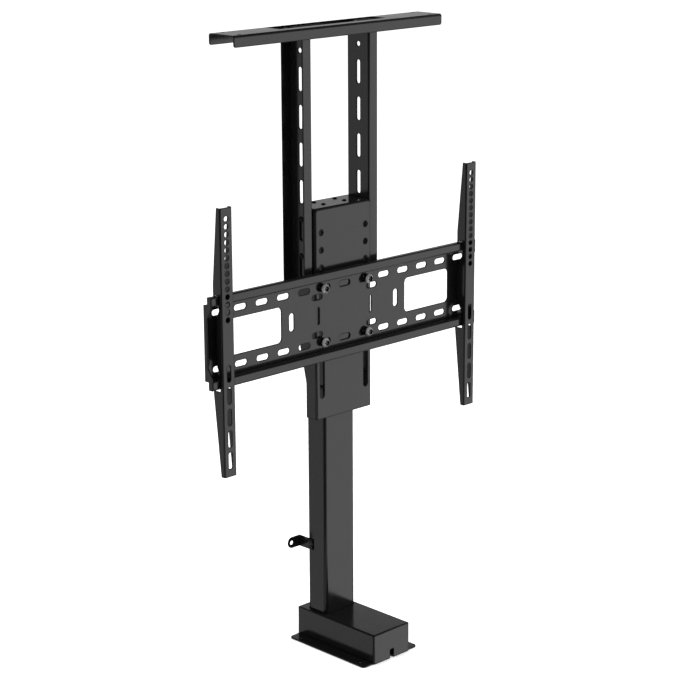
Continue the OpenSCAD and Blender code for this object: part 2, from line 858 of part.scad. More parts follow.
module nut_carrier() color(cast_grey) {
    translate([0, 0, inner_low_z]) difference() {
        linear_extrude(nut_h) round_rect(bore_w, bore_d, bore_r);
        translate([0, 0, -over]) cylinder(h = nut_h + 2 * over, r = screw_d / 2 + nut_wall);
        for (x = both_ways) translate([x * bore_w / 2 - pin_l, 0, pin_z - inner_low_z])
            rod_x(pin_r, 2 * pin_l);
    }
}

module carrier_pins() color(zinc) {
    reach = tube_in_w / 2 - glide_play - 0.5;
    for (x = both_ways) translate([0, 0, pin_z]) rotate([0, 0, 90 - 90 * x])
        translate([bore_w / 2 - pin_l, 0, 0]) rod_x(pin_r, reach - bore_w / 2 + pin_l);
}

module column_head() color(cast_grey) {
    bore_l = cap_screw_l + 2;
    translate([0, 0, cap_under_z - head_block_h]) difference() {
        linear_extrude(head_block_h) round_rect(bore_w, bore_d, bore_r);
        for (x = both_ways, y = both_ways)
            translate([x * cap_screw_x, y * cap_screw_y, head_block_h - bore_l])
                cylinder(h = bore_l + over, r = cap_screw_r);
        for (x = both_ways) translate([x * bore_w / 2 - pin_l / 2, 0, head_block_h / 2])
            rod_x(pin_r, pin_l);
    }
}

module head_pins() color(zinc) {
    reach = bore_w / 2 - pin_l / 2;
    for (x = both_ways) translate([0, 0, head_pin_z]) rotate([0, 0, 90 - 90 * x])
        translate([reach, 0, 0]) rod_x(pin_r, inner_w / 2 - reach);
}

module carriage_plate() color(black_steel) {
    difference() {
        union() {
            intersection() {
                translate([0, -carriage_front, carriage_low_z]) rotate([0, 0, 90])
                    linear_extrude(carriage_h)
                        channel_2d(carriage_front + flange_back_y, carriage_w, bend_r, carriage_t);
                carriage_side();
            }
            translate([-flange_in_x + part_gap, -carriage_front + bend_r, cap_under_z])
                cube([2 * (flange_in_x - part_gap), flange_back_y + carriage_front - bend_r, carriage_t]);
            cap_bend();
        }
        cap_corner();
        for (x = both_ways) {
            for (z = spare_hole_z) translate([x * bar_bolt_x, plate_back_y, z])
                rotate([90, 0, 0]) cylinder(h = 4 * carriage_t, r = spare_hole_r, center = true);
            translate([x * bar_bolt_x, plate_back_y, (carriage_slot_top_z + carriage_slot_low_z) / 2])
                slot_z(carriage_slot_top_z - carriage_slot_low_z, carriage_slot_w, 4 * carriage_t);
            for (z = carriage_bolt_z) translate([x * flange_x - 2 * carriage_t, slot_line_y, z])
                rod_x(carriage_bolt_r, 4 * carriage_t);
            for (y = both_ways) translate([x * cap_screw_x, y * cap_screw_y, cap_under_z - over])
                cylinder(h = carriage_t + 2 * over, r = cap_screw_r);
        }
    }
}

// Side outline of the carriage, as a block that trims its flanges
module carriage_side() {
    low_y = -carriage_front + flange_low_d;
    rotate([90, 0, 90]) linear_extrude(2 * carriage_w, center = true) polygon([
        [-carriage_front - over, carriage_low_z], [low_y, carriage_low_z],
        [low_y, carriage_low_z + flange_straight_h],
        [flange_back_y, carriage_low_z + flange_straight_h + flange_slope_h],
        [flange_back_y, carriage_top_z], [-carriage_front - over, carriage_top_z]
    ]);
}

// Rounded fold between the front plate and the top of the carriage
module cap_bend() {
    translate([-flange_in_x + part_gap, -carriage_front + bend_r, carriage_top_z - bend_r])
        intersection() {
            difference() {
                rod_x(bend_r, 2 * (flange_in_x - part_gap));
                translate([-over, 0, 0]) rod_x(bend_r - carriage_t, 2 * flange_in_x + 2 * over);
            }
            translate([-over, -2 * bend_r, 0]) cube([2 * flange_in_x + 2 * over, 2 * bend_r, 2 * bend_r]);
        }
}

// Waste outside the rounded fold at the top of the front plate
module cap_corner() {
    translate([-flange_x - over, -carriage_front - over, carriage_top_z - bend_r]) difference() {
        cube([carriage_w + 2 * over, bend_r + over, bend_r + over]);
        translate([-over, bend_r + over, 0]) rod_x(bend_r, carriage_w + 4 * over);
    }
}

module cap_screws() color(dark_steel) {
    for (x = both_ways, y = both_ways) translate([x * cap_screw_x, y * cap_screw_y, carriage_top_z]) {
        translate([0, 0, -carriage_t - cap_screw_l])
            cylinder(h = cap_screw_l + carriage_t, r = cap_screw_r);
        dome_head(cap_head_r, cap_head_h, cap_socket);
    }
}

module carriage_bolts() color(dark_steel) {
    head_x = web_in_x + upright_t + slide_gap;
    tail_x = flange_in_x - m8_nut_h - m8_end;
    for (x = both_ways, z = carriage_bolt_z)
        translate([0, slot_line_y, z]) rotate([0, 0, 90 - 90 * x]) {
            translate([tail_x, 0, 0]) rod_x(carriage_bolt_r, head_x - tail_x);
            translate([head_x, 0, 0]) rotate([0, 90, 0])
                dome_head(side_head_r, side_head_h, side_socket);
        }
}

module carriage_nuts() color(zinc) {
    for (x = both_ways, z = carriage_bolt_z)
        translate([0, slot_line_y, z]) rotate([0, 0, 90 - 90 * x])
            translate([flange_in_x - m8_nut_h, 0, 0]) rotate([0, 90, 0])
                hex_nut(m8_flats, m8_nut_h, carriage_bolt_r);
}

// Right-hand upright: a channel that opens outwards, with its row of slots
module upright() color(black_steel) {
    difference() {
        translate([web_in_x, upright_mid_y, upright_low_z]) linear_extrude(upright_top_z - upright_low_z)
            channel_2d(upright_flange, upright_d, bend_r - 1, upright_t);
        translate([web_in_x, slot_line_y, upright_hole_z]) translate([-over, 0, 0])
            rod_x(upright_slot_w / 2, upright_t + 2 * over);
        for (k = [0 : upright_slots - 1])
            translate([web_in_x, slot_line_y, slot_top_z(k) - upright_slot_l / 2])
                side_slot(upright_slot_l, upright_slot_w, 3 * upright_t);
        translate([bracket_bolt_x, upright_back_y - upright_t - over, bracket_bolt_z])
            rod_y(bracket_bolt_r, upright_t + 2 * over);
    }
}

module upright_left() {
    mirror([1, 0, 0]) upright();
}

module upright_right() {
    upright();
}

module top_bracket() color(black_steel) {
    under_z = bracket_top_z - bracket_t;
    difference() {
        translate([-bracket_l / 2, bracket_mid_y, bracket_top_z]) rotate([0, 90, 0])
            linear_extrude(bracket_l) channel_2d(bracket_h, bracket_d, bend_r, bracket_t);
        translate([-bracket_cut_l / 2, cut_front_y, under_z - over])
            cube([bracket_cut_l, cut_back_y - cut_front_y, bracket_t + 2 * over]);
        translate([0, bracket_mid_y, under_z - over]) for (x = both_ways, y = both_ways)
            translate([x * lid_hole_pitch_x / 2, y * lid_hole_pitch_y / 2, 0])
                cylinder(h = bracket_t + 2 * over, d = lid_hole_d);
        for (x = both_ways) {
            translate([x * bracket_bolt_x, bracket_back_y - bracket_t - over, bracket_bolt_z])
                rod_y(bracket_bolt_r, bracket_t + 2 * over);
            translate([x * bracket_l / 2, 0, bracket_top_z - bracket_h]) rotate([90, 0, 0])
                linear_extrude(4 * bracket_d, center = true) flange_corner(x);
        }
    }
}

// Waste outside the rounded lower corner of a bracket flange
module flange_corner(x) {
    r = flange_corner_r;
    difference() {
        translate([-r, -r]) square(2 * r);
        translate([-x * r, r]) circle(r);
        translate([-x * 3 * r - r, -r]) square([2 * r + r, 3 * r]);
    }
}

module bracket_bolts() color(zinc) {
    tip_y = upright_back_y - upright_t - m6_nut_h - m6_end;
    for (x = both_ways) translate([x * bracket_bolt_x, 0, bracket_bolt_z]) {
        translate([0, tip_y, 0]) rod_y(bracket_bolt_r, bracket_back_y - tip_y);
        translate([0, bracket_back_y, 0]) rotate([-90, 0, 0]) hex_prism(m6_flats, m6_head_h);
    }
}

module bracket_nuts() color(zinc) {
    for (x = both_ways)
        translate([x * bracket_bolt_x, upright_back_y - upright_t, bracket_bolt_z])
            rotate([90, 0, 0]) hex_nut(m6_flats, m6_nut_h, bracket_bolt_r);
}

// Quarter ring of folded sheet with its bend line at the origin, towards +X and +Y
module fold_2d(r, t) {
    intersection() {
        difference() {
            circle(r);
            circle(r - t);
        }
        square(r);
    }
}

// Section of the crossbar: recessed web, two shelves and two folded rails
module crossbar_section() {
    t = crossbar_t;
    r = bar_bend_r;
    shelf_y = web_half - t;
    translate([bar_web_y, r - web_half]) square([t, crossbar_web_h - 2 * r]);
    for (s = [0, 1]) mirror([0, s]) {
        translate([bar_back_y - r, web_half - r]) fold_2d(r, t);
        translate([bar_front_y + r, shelf_y]) square([crossbar_d - 2 * r, t]);
        translate([bar_front_y + r, shelf_y + r]) rotate(180) fold_2d(r, t);
        translate([bar_front_y, shelf_y + r]) square([t, rail_half - shelf_y - 2 * r]);
        translate([bar_front_y + r, rail_half - r]) rotate(90) fold_2d(r, t);
        translate([bar_front_y + r, rail_half - t]) square([rail_d - r, t]);
    }
}

module crossbar() color(black_steel) {
    length = crossbar_l - 2 * crossbar_t;
    slots = floor((length / 2 - bar_slot_l / 2) / bar_slot_pitch);
    depth = 3 * crossbar_t;
    difference() {
        translate([-length / 2, 0, crossbar_mid_z]) rotate([90, 0, 90])
            linear_extrude(length) crossbar_section();
        translate([0, bar_web_y + crossbar_t / 2, crossbar_mid_z]) {
            for (k = [-slots : slots], z = both_ways)
                translate([k * bar_slot_pitch, 0, z * bar_row_pitch / 2])
                    slot_x(bar_slot_l, bar_slot_w, depth);
            for (x = both_ways) {
                translate([x * window_mid_x, 0, 0]) rotate([90, 0, 0])
                    linear_extrude(depth, center = true) round_rect(window_w, window_h, window_r);
                for (z = both_ways) translate([x * small_slot_x, 0, z * small_slot_pitch / 2])
                    slot_x(small_slot_l, small_slot_w, depth);
                translate([x * rib_slot_x, 0, 0]) slot_z(rib_slot_h, rib_slot_w, depth);
                translate([x * narrow_slot_x, 0, 0]) slot_z(narrow_slot_h, narrow_slot_w, depth);
            }
        }
    }
}

module crossbar_ends() color(black_steel) {
    waist_y = bar_back_y - end_waist_d;
    for (x = both_ways) translate([x * (crossbar_l - crossbar_t) / 2, 0, crossbar_mid_z])
        rotate([90, 0, 90]) linear_extrude(crossbar_t, center = true)
            for (s = [0, 1]) mirror([0, s]) polygon([
                [bar_back_y, 0], [bar_back_y, web_half], [rail_back_y, web_half],
                [rail_back_y, rail_half], [bar_front_y, rail_half], [bar_front_y, web_half - 9],
                [waist_y, web_half - 23], [waist_y, 0]
            ]);
}

module crossbar_bolts() color(zinc) {
    head_y = bar_web_y - collar_l;
    tail_y = plate_back_y + slide_gap + m10_nut_h + m10_end;
    for (x = both_ways, z = bolt_z) translate([x * bar_bolt_x, head_y, z]) {
        rod_y(bar_bolt_r, tail_y - head_y);
        rotate([90, 0, 0]) dome_head(bar_head_r, bar_head_h, bar_socket);
    }
}

module bolt_collars() color(black_steel) {
    for (x = both_ways, z = bolt_z)
        translate([x * bar_bolt_x, bar_web_y - collar_l, z]) difference() {
            rod_y(collar_r, collar_l);
            translate([0, -over, 0]) rod_y(bar_bolt_r, collar_l + 2 * over);
        }
}

module crossbar_nuts() color(zinc) {
    for (x = both_ways, z = bolt_z) translate([x * bar_bolt_x, plate_back_y + slide_gap, z])
        rotate([-90, 0, 0]) hex_nut(m10_flats, m10_nut_h, bar_bolt_r);
}

// Outline of an arm's side flanges, seen from the side
module arm_side_2d() {
    top_z = crossbar_mid_z + rail_half;
    low_z = crossbar_mid_z - rail_half;
    hook_y = rail_back_y + hook_gap;
    lip_y = bar_front_y - hook_gap;
    polygon([
        [arm_face_y, arm_low_z], [arm_face_y + arm_tip_d, arm_low_z],
        [arm_back_y, low_z - foot_gap - foot_h], [arm_back_y, low_z - foot_gap],
        [lip_y, low_z - foot_gap], [lip_y, crossbar_mid_z - wing_half],
        [arm_hook_y, crossbar_mid_z - wing_half + wing_slope],
        [arm_hook_y, crossbar_mid_z + wing_half - wing_slope],
        [lip_y, crossbar_mid_z + wing_half], [lip_y, top_z + hook_gap],
        [hook_y, top_z + hook_gap], [hook_y, top_z - hook_drop],
        [arm_hook_y, top_z - hook_drop], [arm_hook_y, top_z + hook_rise],
        [arm_face_y + arm_tip_d, arm_top_z], [arm_face_y, arm_top_z]
    ]);
}

// Screen arm with its middle at x, a channel that opens towards the back; the flange on the
// side named by out is the outer one, which reaches less far back between the rails
module arm(x, out) color(black_steel) {
    translate([x, 0, 0]) difference() {
        intersection() {
            translate([0, arm_face_y, 0]) rotate([0, 0, 90])
                linear_extrude(arm_top_z) channel_2d(arm_d, arm_w, arm_bend_r, arm_t);
            rotate([90, 0, 90]) linear_extrude(2 * arm_w, center = true) arm_side_2d();
        }
        translate([out * arm_w / 2 - 2 * arm_t, arm_face_y + arm_outer_d, crossbar_mid_z - wing_half])
            cube([4 * arm_t, arm_d, 2 * wing_half]);
        for (k = [0 : arm_holes - 1])
            translate([0, arm_face_y - over, arm_hole_top_z - k * arm_hole_pitch])
                rod_y(arm_hole_d / 2, arm_t + 2 * over);
        for (k = [0 : arm_slots - 1])
            translate([0, arm_face_y, arm_hole_top_z - arm_pattern_h + k * arm_slot_pitch])
                slot_z(arm_slot_l, arm_slot_w, 3 * arm_t);
    }
}

module arm_left() {
    arm(-arm_left_x, -1);
}

module arm_right() {
    arm(arm_right_x, 1);
}

base_plate();
base_cover();
cover_screws();
outer_column();
column_collar();
column_screws();
gearbox_housing();
gearbox_screws();
bearing_plug();
lower_bearing();
upper_bearing();
worm_bushes();
drive_motor();
motor_end_cap();
motor_screws();
motor_cradle();
control_board();
board_posts();
power_socket();
cable_bracket();
cable_bracket_rivets();
leadscrew();
worm_wheel();
wheel_key();
worm();
inner_column();
inner_glide();
drive_nut();
nut_carrier();
carrier_pins();
column_head();
head_pins();
carriage_plate();
cap_screws();
carriage_bolts();
carriage_nuts();
upright_left();
upright_right();
top_bracket();
bracket_bolts();
bracket_nuts();
crossbar();
crossbar_ends();
crossbar_bolts();
bolt_collars();
crossbar_nuts();
arm_left();
arm_right();
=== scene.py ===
import json
import math

import bpy
from mathutils import Matrix, Vector

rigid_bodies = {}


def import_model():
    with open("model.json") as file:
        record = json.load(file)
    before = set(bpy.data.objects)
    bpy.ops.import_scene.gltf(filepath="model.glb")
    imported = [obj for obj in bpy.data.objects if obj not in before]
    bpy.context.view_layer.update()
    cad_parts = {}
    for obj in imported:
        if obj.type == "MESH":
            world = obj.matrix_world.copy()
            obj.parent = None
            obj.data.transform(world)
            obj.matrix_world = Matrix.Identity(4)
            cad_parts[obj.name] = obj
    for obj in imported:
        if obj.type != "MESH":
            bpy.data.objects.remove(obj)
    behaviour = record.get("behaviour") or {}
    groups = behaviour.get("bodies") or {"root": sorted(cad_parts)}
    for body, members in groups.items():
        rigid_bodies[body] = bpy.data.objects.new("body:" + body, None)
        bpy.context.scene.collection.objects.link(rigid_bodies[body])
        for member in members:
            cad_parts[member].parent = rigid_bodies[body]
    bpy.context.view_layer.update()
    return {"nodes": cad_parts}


# Camera, solved from the photograph, in metres and degrees
CAMERA_AT = (-2.30825, -2.39336, 1.43117)
AZIMUTH = -44.26
ELEVATION = 14.93
ROLL = -0.30
LENS_MM = 105.75
SENSOR_MM = 36.0
CLIP_END = 100

# Colours of the finishes, linear, and the black of the painted shade on edges and in recesses
COAT_BLACK = (0.0080, 0.0080, 0.0083)
WORN_GREY = (0.07, 0.07, 0.073)
PAINTED_SHADE_BLACK = (0.0015, 0.0015, 0.0016)

# Radius of the edge masks, for the painted edge shade and the wear, in metres, of which about a quarter
# shows, and their samples
RIM_RADIUS = 0.0030
WEAR_RADIUS = 0.0005
MASK_SAMPLES = 6

# Levels between which a noise texture mostly stays
NOISE_BAND = (0.3, 0.7)

# Clean-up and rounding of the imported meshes, in metres and degrees
WELD_REACH = 0.000005
FLAT_ANGLE = 0.4
EDGE_ANGLE = 35

# Cards that only reflections see: radius, heights, centre opening and sky outline, in metres
FAR = 7.0
GROUND_Z = -4.0
HEAD_Z = 1.2
SKY_Z = 3.3
CENTRE = 0.05
SKY_PROFILE = [(FAR, SKY_Z), (5.0, 6.0), (CENTRE, 7.0)]
RING_STEPS = 72
GROUND_LEVEL = 0.30
SKY_LEVEL = 0.06

# Light on the whole scene, and the floor: half side, height, colour, glow, reach of the painted shadow
# in its glow
AMBIENT = 0.45
FLOOR_HALF = 14.0
FLOOR_Z = -0.0005
FLOOR_GREY = (0.86, 0.86, 0.86, 1)
FLOOR_GLOW = 0.75
SHADOW_REACH = 0.04

for stray in list(bpy.data.objects):
    bpy.data.objects.remove(stray)

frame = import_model()
scene = bpy.context.scene
nodes_by_name = frame["nodes"]


# Camera
def make_camera():
    az, el, roll = (math.radians(a) for a in (AZIMUTH, ELEVATION, ROLL))
    back = Vector((math.sin(az) * math.cos(el), -math.cos(az) * math.cos(el), math.sin(el)))
    right = Vector((math.cos(az), math.sin(az), 0))
    up = back.cross(right)
    right_r = right * math.cos(roll) + up * math.sin(roll)
    up_r = -right * math.sin(roll) + up * math.cos(roll)
    data = bpy.data.cameras.new("camera")
    data.lens = LENS_MM
    data.sensor_width = SENSOR_MM
    data.clip_end = CLIP_END
    camera = bpy.data.objects.new("camera", data)
    turn = Matrix((right_r, up_r, back)).transposed().to_4x4()
    camera.matrix_world = Matrix.Translation(CAMERA_AT) @ turn
    scene.collection.objects.link(camera)
    scene.camera = camera


make_camera()


# Shader helpers
class Tree:
    """Short names for making and joining shader nodes in one tree."""

    def __init__(self, tree):
        self.tree = tree
        tree.nodes.clear()

    def add(self, kind, **values):
        made = self.tree.nodes.new(kind)
        for key, value in values.items():
            setattr(made, key, value)
        return made

    def join(self, source, target):
        self.tree.links.new(source, target)

    def math(self, operation, a, b):
        made = self.add("ShaderNodeMath", operation=operation)
        for place, value in enumerate((a, b)):
            if isinstance(value, (int, float)):
                made.inputs[place].default_value = value
            else:
                self.join(value, made.inputs[place])
        return made.outputs[0]

    def noise(self, where, scale, detail=2.0, rough=0.5, stretch=None):
        source = where
        if stretch:
            mapping = self.add("ShaderNodeMapping")
            mapping.inputs["Scale"].default_value = stretch
            self.join(where, mapping.inputs["Vector"])
            source = mapping.outputs["Vector"]
        made = self.add("ShaderNodeTexNoise")
        made.inputs["Scale"].default_value = scale
        made.inputs["Detail"].default_value = detail
        made.inputs["Roughness"].default_value = rough
        self.join(source, made.inputs["Vector"])
        return made.outputs["Fac"]

    def span(self, value, low, high, from_low=0.0, from_high=1.0, smooth=False):
        made = self.add("ShaderNodeMapRange")
        made.interpolation_type = "SMOOTHSTEP" if smooth else "LINEAR"
        made.clamp = True
        self.join(value, made.inputs["Value"])
        made.inputs["From Min"].default_value = from_low
        made.inputs["From Max"].default_value = from_high
        made.inputs["To Min"].default_value = low
        made.inputs["To Max"].default_value = high
        return made.outputs["Result"]

    def mix(self, factor, a, b):
        made = self.add("ShaderNodeMix", data_type="RGBA")
        self.join(factor, made.inputs[0])
        for place, value in ((6, a), (7, b)):
            if isinstance(value, tuple):
                made.inputs[place].default_value = (*value, 1.0)
            else:
                self.join(value, made.inputs[place])
        return made.outputs[2]

    def bump(self, height, strength, distance):
        made = self.add("ShaderNodeBump")
        made.inputs["Strength"].default_value = strength
        made.inputs["Distance"].default_value = distance
        self.join(height, made.inputs["Height"])
        return made.outputs["Normal"]

    def seen_directly(self):
        """One for rays of the camera, of reflections and of transmission, zero for the rest."""
        rays = self.add("ShaderNodeLightPath").outputs
        direct = self.math("MAXIMUM", rays["Is Camera Ray"], rays["Is Glossy Ray"])
        return self.math("MAXIMUM", direct, rays["Is Transmission Ray"])


def edge_mask(t, radius, low, high):
    """How sharply the surface turns near a point, from 0 on a flat to 1 on an edge."""
    bevel = t.add("ShaderNodeBevel")
    bevel.samples = MASK_SAMPLES
    bevel.inputs["Radius"].default_value = radius
    geometry = t.add("ShaderNodeNewGeometry")
    dot = t.add("ShaderNodeVectorMath", operation="DOT_PRODUCT")
    t.join(bevel.outputs["Normal"], dot.inputs[0])
    t.join(geometry.outputs["Normal"], dot.inputs[1])
    return t.span(t.math("SUBTRACT", 1.0, dot.outputs["Value"]), 0.0, 1.0, low, high)


def new_material(name):
    material = bpy.data.materials.new(name)
    material.use_nodes = True
    t = Tree(material.node_tree)
    out = t.add("ShaderNodeOutputMaterial")
    shader = t.add("ShaderNodeBsdfPrincipled")
    t.join(shader.outputs[0], out.inputs["Surface"])
    where = t.add("ShaderNodeTexCoord").outputs["Object"]
    return material, t, shader, where


def powder_coat(name, base, rough_low, rough_high, grain, wear):
    """Satin powder coat: fine orange peel, soft cloudy sheen, edges turned matt black by painted shade,
    a little worn.
    """
    material, t, shader, where = new_material(name)
    cloud = t.noise(where, 9.0, 3.0)
    speck = t.noise(where, 1400.0, 1.0)
    tone = t.span(cloud, 0.90, 1.10, *NOISE_BAND)
    speck_tone = t.span(speck, 0.94, 1.06, *NOISE_BAND)
    colour = t.add("ShaderNodeVectorMath", operation="SCALE")
    colour.inputs[0].default_value = base
    t.join(t.math("MULTIPLY", tone, speck_tone), colour.inputs["Scale"])
    # Painted shade: near edges the colour goes to black and the gloss drops
    painted_rim = edge_mask(t, RIM_RADIUS, 0.004, 0.05)
    edge_shaded = t.mix(painted_rim, colour.outputs["Vector"], PAINTED_SHADE_BLACK)
    t.join(t.span(painted_rim, 0.5, 0.04), shader.inputs["Specular IOR Level"])
    edge = edge_mask(t, WEAR_RADIUS, 0.05, 0.25)
    patch = t.span(t.noise(where, 130.0, 3.0, 0.6), 0.0, 1.0, 0.50, 0.70, smooth=True)
    worn = t.math("MULTIPLY", t.math("MULTIPLY", edge, patch), wear)
    t.join(t.mix(worn, edge_shaded, WORN_GREY), shader.inputs["Base Color"])
    smear = t.noise(where, 34.0, 4.0, 0.6)
    t.join(t.span(smear, rough_low, rough_high, 0.28, 0.72), shader.inputs["Roughness"])
    peel = t.noise(where, 620.0, 2.0, 0.55)
    fine = t.noise(where, 2600.0, 1.0)
    height = t.math("ADD", peel, t.math("MULTIPLY", fine, 0.35))
    t.join(t.bump(height, grain, 0.0004), shader.inputs["Normal"])
    shader.inputs["IOR"].default_value = 1.6
    return material


def metal(name, base, rough_low, rough_high, stretch=(1, 1, 1), grain=0.12, tint=None, recess=0.0):
    """Plated, cast or machined metal with tool marks along its shortest stretch.

    A recess in metres paints shade into holes and corners narrower than that, darkening the colour
    towards black.
    """
    material, t, shader, where = new_material(name)
    cloud = t.noise(where, 45.0, 3.0)
    colour = t.mix(t.span(cloud, 0.0, 1.0, *NOISE_BAND), base, tint or tuple(c * 0.82 for c in base))
    if recess:
        # Painted shade: ambient occlusion darkens the colour in holes and corners
        open_air = t.add("ShaderNodeAmbientOcclusion")
        open_air.inputs["Distance"].default_value = recess
        open_air.only_local = True
        colour = t.mix(t.span(open_air.outputs["AO"], 0.0, 1.0, 0.87, 0.97), PAINTED_SHADE_BLACK, colour)
    t.join(colour, shader.inputs["Base Color"])
    marks = t.noise(where, 900.0, 3.0, 0.6, stretch)
    t.join(t.span(marks, rough_low, rough_high, *NOISE_BAND), shader.inputs["Roughness"])
    t.join(t.bump(marks, grain, 0.0003), shader.inputs["Normal"])
    shader.inputs["Metallic"].default_value = 0.6 if recess else 1.0
    return material


def plastic(name, base, rough_low, rough_high, grain=0.12):
    """Moulded plastic with a faint cloudy tone and a fine matt grain."""
    material, t, shader, where = new_material(name)
    cloud = t.noise(where, 60.0, 3.0)
    t.join(
        t.mix(t.span(cloud, 0.0, 1.0, *NOISE_BAND), base, tuple(c * 0.86 for c in base)),
        shader.inputs["Base Color"],
    )
    fine = t.noise(where, 1800.0, 2.0)
    t.join(t.span(fine, rough_low, rough_high, *NOISE_BAND), shader.inputs["Roughness"])
    t.join(t.bump(fine, grain, 0.0002), shader.inputs["Normal"])
    return material


def circuit_board(name):
    """Green board with copper tracks under the mask."""
    material, t, shader, where = new_material(name)
    tracks = t.add("ShaderNodeTexBrick")
    tracks.inputs["Scale"].default_value = 120.0
    tracks.inputs["Mortar Size"].default_value = 0.03
    tracks.inputs["Color1"].default_value = (0.012, 0.085, 0.035, 1)
    tracks.inputs["Color2"].default_value = (0.015, 0.11, 0.045, 1)
    tracks.inputs["Mortar"].default_value = (0.03, 0.19, 0.08, 1)
    t.join(where, tracks.inputs["Vector"])
    t.join(tracks.outputs["Color"], shader.inputs["Base Color"])
    fine = t.noise(where, 700.0, 2.0)
    t.join(t.span(fine, 0.28, 0.42), shader.inputs["Roughness"])
    t.join(t.bump(tracks.outputs["Fac"], 0.3, 0.0001), shader.inputs["Normal"])
    return material


MATERIALS = {
    "black_powder_coat": powder_coat(
        "black_powder_coat_fine", COAT_BLACK, 0.13, 0.19, grain=0.06, wear=0.2
    ),
    "dark_steel": metal("black_oxide_steel", (0.045, 0.045, 0.048), 0.22, 0.34, (1, 1, 0.2)),
    "zinc_steel": metal(
        "bright_zinc", (0.66, 0.67, 0.68), 0.18, 0.34, tint=(0.60, 0.60, 0.56)
    ),
    "cast_aluminium": metal("cast_aluminium_matt", (0.55, 0.56, 0.57), 0.42, 0.62, grain=0.3),
    "bolt_zinc": metal(
        "bright_zinc_head", (0.68, 0.69, 0.70), 0.26, 0.38, tint=(0.60, 0.60, 0.57), recess=0.02
    ),
    "brass": metal("machined_brass", (0.72, 0.52, 0.22), 0.20, 0.36, (1, 0.1, 1)),
    "nylon": plastic("moulded_nylon", (0.74, 0.72, 0.66), 0.42, 0.55),
    "black_plastic": plastic("moulded_black_plastic", (0.010, 0.010, 0.011), 0.30, 0.42),
    "circuit_board": circuit_board("green_circuit_board"),
}


# Width of the rounding of each piece's edges, in metres
ROUNDING = {
    "base_plate": 0.0004, "base_cover": 0.0004, "outer_column": 0.0004, "cable_bracket": 0.0003,
    "carriage_plate": 0.0004, "upright_left": 0.0004, "upright_right": 0.0004,
    "top_bracket": 0.0004, "crossbar": 0.00035, "crossbar_ends": 0.00035,
    "arm_left": 0.00035, "arm_right": 0.00035, "bolt_collars": 0.0008,
    "crossbar_bolts": 0.0005, "crossbar_nuts": 0.0004, "carriage_bolts": 0.0005,
    "carriage_nuts": 0.0004, "bracket_bolts": 0.0004, "bracket_nuts": 0.0004,
    "cover_screws": 0.0004, "cap_screws": 0.0002, "motor_end_cap": 0.0005,
    "power_socket": 0.0003, "inner_column": 0.0003, "column_collar": 0.0003,
}


def soften(obj, width):
    """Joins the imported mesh's split points, drops its flat triangles and rounds its edges a little."""
    weld = obj.modifiers.new("weld", "WELD")
    weld.merge_threshold = WELD_REACH
    flat = obj.modifiers.new("flat", "DECIMATE")
    flat.decimate_type = "DISSOLVE"
    flat.angle_limit = math.radians(FLAT_ANGLE)
    bevel = obj.modifiers.new("bevel", "BEVEL")
    bevel.width = width
    bevel.segments = 2
    bevel.limit_method = "ANGLE"
    bevel.angle_limit = math.radians(EDGE_ANGLE)
    bevel.use_clamp_overlap = False
    bevel.miter_outer = "MITER_ARC"
    bevel.harden_normals = True


# Screws and bolts with light heads and sockets darkened by painted shade
HEADS = ("crossbar_bolts", "bracket_bolts", "cover_screws", "column_screws")

for name, obj in nodes_by_name.items():
    for slot in obj.material_slots:
        finish = "bolt_zinc" if name in HEADS else slot.material.name.split(".")[0]
        slot.material = MATERIALS[finish]
    if name in ROUNDING:
        soften(obj, ROUNDING[name])


# Studio
def ramp_of(t, value, stops):
    """Grey ramp through (place, level) pairs."""
    ramp = t.add("ShaderNodeValToRGB")
    t.join(value, ramp.inputs["Fac"])
    band = ramp.color_ramp
    band.interpolation = "EASE"
    while len(band.elements) > 1:
        band.elements.remove(band.elements[-1])
    for place, (at, level) in enumerate(stops):
        element = band.elements[0] if place == 0 else band.elements.new(at)
        element.position = at
        element.color = (level, level, level, 1)
    return ramp.outputs["Color"]


def emission_card(name, mesh, stops):
    """A card that only reflections see, with its level given by the angle round the object."""
    material = bpy.data.materials.new(name)
    material.use_nodes = True
    t = Tree(material.node_tree)
    out = t.add("ShaderNodeOutputMaterial")
    light = t.add("ShaderNodeEmission")
    t.join(light.outputs[0], out.inputs["Surface"])
    where = t.add("ShaderNodeTexCoord").outputs["Object"]
    mapping = t.add("ShaderNodeMapping")
    mapping.inputs["Rotation"].default_value = (0, 0, math.pi)
    t.join(where, mapping.inputs["Vector"])
    radial = t.add("ShaderNodeTexGradient", gradient_type="RADIAL")
    t.join(mapping.outputs["Vector"], radial.inputs["Vector"])
    t.join(ramp_of(t, radial.outputs["Fac"], stops), light.inputs["Color"])
    mesh.materials.append(material)
    card = bpy.data.objects.new(name, mesh)
    card.visible_camera = False
    card.visible_diffuse = False
    card.visible_shadow = False
    card.visible_transmission = False
    scene.collection.objects.link(card)


def ring_mesh(name, points):
    """Surface of revolution round Z through (radius, height) points."""
    verts, faces = [], []
    for k in range(RING_STEPS):
        a = 2 * math.pi * k / RING_STEPS
        for r, z in points:
            verts.append((r * math.cos(a), r * math.sin(a), z))
    n = len(points)
    for k in range(RING_STEPS):
        m = (k + 1) % RING_STEPS
        for i in range(n - 1):
            faces.append((k * n + i, m * n + i, m * n + i + 1, k * n + i + 1))
    mesh = bpy.data.meshes.new(name)
    mesh.from_pydata(verts, [], faces)
    return mesh


# Angles run anticlockwise from +X seen from above, as shares of a turn: the photograph's
# camera stands at 0.627, what front faces mirror lies at 0.873, left faces 0.373, tops 0.127
WALL_STOPS = [
    (0.0, 0.30), (0.06, 0.45), (0.127, 0.50), (0.25, 0.50), (0.36, 0.46), (0.46, 0.36),
    (0.55, 0.03), (0.627, 0.03), (0.69, 0.04), (0.77, 0.90), (0.85, 1.17), (0.895, 1.15),
    (0.93, 0.72), (0.96, 0.25), (1.0, 0.30),
]
